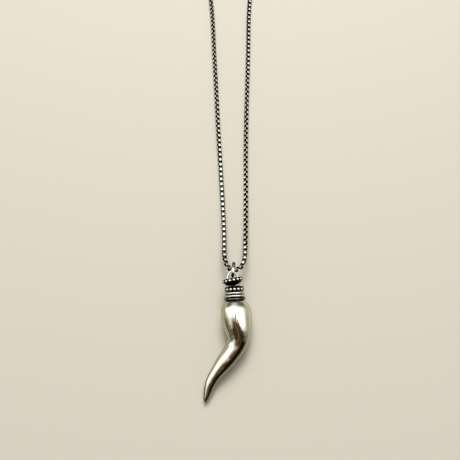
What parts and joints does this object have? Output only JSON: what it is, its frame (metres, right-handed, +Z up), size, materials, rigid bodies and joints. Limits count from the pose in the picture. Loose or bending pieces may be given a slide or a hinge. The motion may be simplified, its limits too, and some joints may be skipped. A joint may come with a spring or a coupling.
{
  "type": "cornicello horn pendant on a box chain",
  "caption": "Curved silver horn pendant with a banded and beaded cap, hung by a jump ring on a closed box chain neck loop, lying flat.",
  "frame": {"origin": "middle of the part's footprint, on the surface it lies on", "axes": "+Y runs from the horn's tip to the far end of the neck loop, +Z up off the surface, +X to the right as the horn is seen from above with its cap end up"},
  "size_m": [0.0732, 0.2556, 0.0079],
  "materials": {
    "polished_silver": "mirror polished warm silver with fine handling marks",
    "banded_silver": "polished bands with blackened recesses between them",
    "oxidised_silver": "blackened silver, polished bright on the tops of the beads",
    "wire_silver": "polished silver wire, slightly dulled",
    "chain_silver": "bright outer faces with blackened gaps between the links",
    "clasp_silver": "polished silver, slightly dulled"
  },
  "bodies": {
    "root": {"horn": "polished_silver", "collar": "banded_silver", "lower_beaded_ring": "oxidised_silver", "upper_beaded_ring": "oxidised_silver", "wire_eye": "wire_silver", "jump_ring": "wire_silver", "box_chain": "chain_silver", "barrel_clasp": "clasp_silver"}
  },
  "joints": []
}
